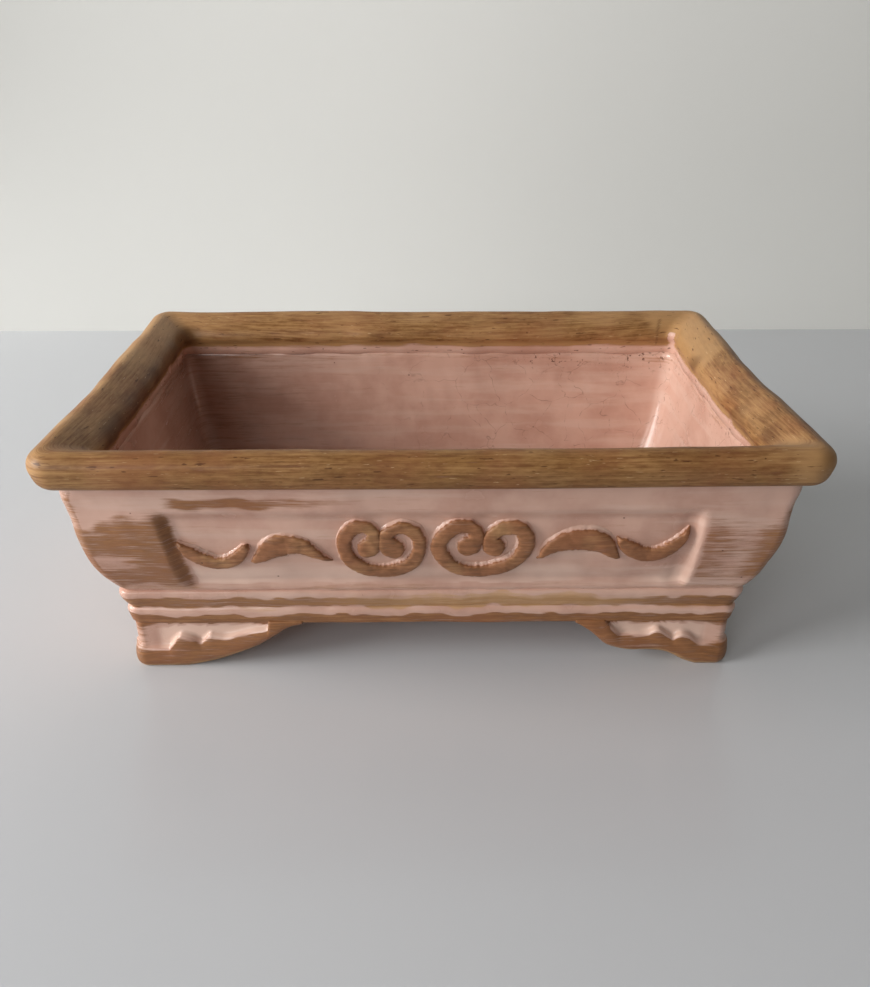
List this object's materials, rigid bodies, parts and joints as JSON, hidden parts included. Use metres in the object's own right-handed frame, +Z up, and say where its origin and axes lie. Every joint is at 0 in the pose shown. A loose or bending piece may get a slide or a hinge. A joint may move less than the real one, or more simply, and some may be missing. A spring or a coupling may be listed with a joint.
{
  "type": "bonsai pot",
  "caption": "Low rectangular glazed clay bonsai pot with a rolled rim, sunk side panels with applied scrollwork, a beaded plinth, bracket feet and drainage holes.",
  "frame": {"origin": "on the table, under the middle of the pot", "axes": "+X along the long side, to the right as seen from the front; -Y is the front; +Z up"},
  "size_m": [0.25, 0.156, 0.093],
  "materials": {
    "floor_glaze": "gloss",
    "wall_glaze": "gloss",
    "rim_stain": "satin",
    "bead_stain": "satin",
    "foot_stain": "satin",
    "scroll_stain": "satin"
  },
  "bodies": {
    "root": {"floor_slab": "floor_glaze", "front_wall": "wall_glaze", "front_rim": "rim_stain", "front_plinth": "bead_stain", "right_wall": "wall_glaze", "right_rim": "rim_stain", "right_plinth": "bead_stain", "back_wall": "wall_glaze", "back_rim": "rim_stain", "back_plinth": "bead_stain", "left_wall": "wall_glaze", "left_rim": "rim_stain", "left_plinth": "bead_stain", "front_left_foot": "foot_stain", "front_right_foot": "foot_stain", "back_left_foot": "foot_stain", "back_right_foot": "foot_stain", "front_left_scroll": "scroll_stain", "front_left_inner_leaf": "scroll_stain", "front_left_outer_leaf": "scroll_stain", "front_right_scroll": "scroll_stain", "front_right_inner_leaf": "scroll_stain", "front_right_outer_leaf": "scroll_stain", "back_left_scroll": "scroll_stain", "back_left_inner_leaf": "scroll_stain", "back_left_outer_leaf": "scroll_stain", "back_right_scroll": "scroll_stain", "back_right_inner_leaf": "scroll_stain", "back_right_outer_leaf": "scroll_stain", "left_end_scroll": "scroll_stain", "left_end_front_leaf": "scroll_stain", "left_end_back_leaf": "scroll_stain", "right_end_scroll": "scroll_stain", "right_end_front_leaf": "scroll_stain", "right_end_back_leaf": "scroll_stain"}
  },
  "joints": []
}
